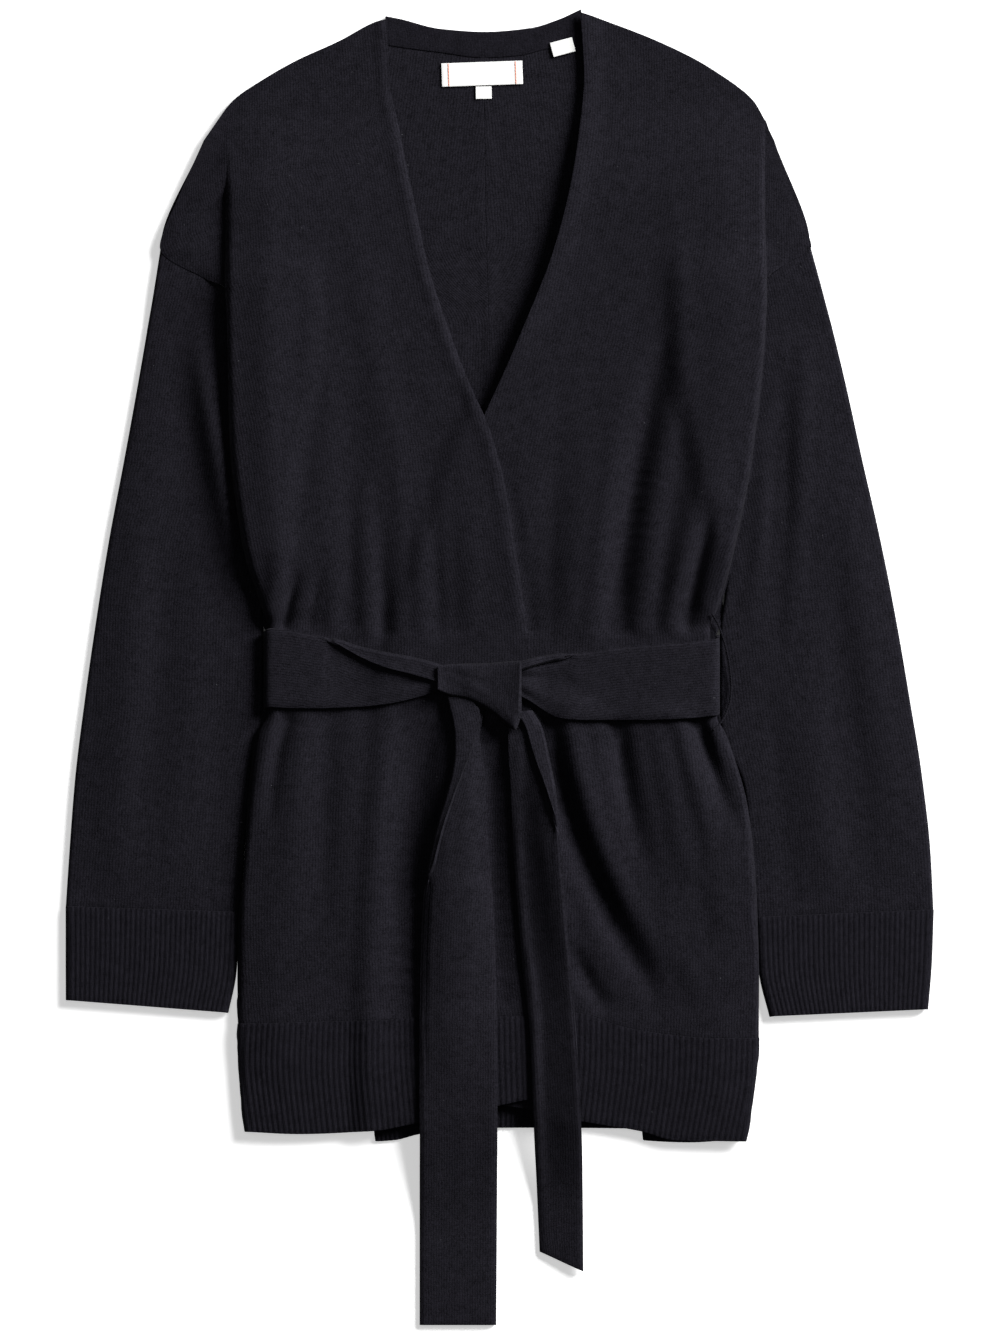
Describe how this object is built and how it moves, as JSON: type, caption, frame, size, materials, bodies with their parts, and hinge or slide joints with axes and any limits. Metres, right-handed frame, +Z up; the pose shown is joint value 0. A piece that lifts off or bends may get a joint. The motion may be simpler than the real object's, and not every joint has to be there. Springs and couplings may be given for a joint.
{
  "type": "wrap cardigan",
  "caption": "Long-sleeved wrap cardigan of fine dark knit, laid flat with its own belt knotted at the waist; ribbed hem and cuffs, deep crossed neck.",
  "frame": {"origin": "on the surface that the garment lies on, under the middle of its outline", "axes": "+X towards the wearer's left sleeve, +Y from the belt ends up to the neck, +Z up from the surface, out of the garment's front"},
  "size_m": [0.5749, 0.868, 0.0232],
  "materials": {
    "wool_jersey": "matt fine jersey",
    "wool_rib": "matt rib knit",
    "belt_knit": "matt double jersey",
    "label_satin": "smooth woven satin"
  },
  "bodies": {
    "root": {"back_right": "wool_jersey", "back_left": "wool_jersey", "back_hem_rib": "wool_rib", "front_right": "wool_jersey", "front_left": "wool_jersey", "front_right_hem_rib": "wool_rib", "front_left_hem_rib": "wool_rib", "sleeve_right": "wool_jersey", "sleeve_left": "wool_jersey", "cuff_right": "wool_rib", "cuff_left": "wool_rib", "neckband": "wool_rib", "belt_back": "belt_knit", "belt_right_stretch": "belt_knit", "belt_left_stretch": "belt_knit", "belt_knot": "belt_knit", "belt_tail_front": "belt_knit", "belt_tail_back": "belt_knit", "belt_loop": "wool_jersey", "neck_label": "label_satin", "size_tab": "label_satin", "care_label": "label_satin"}
  },
  "joints": []
}
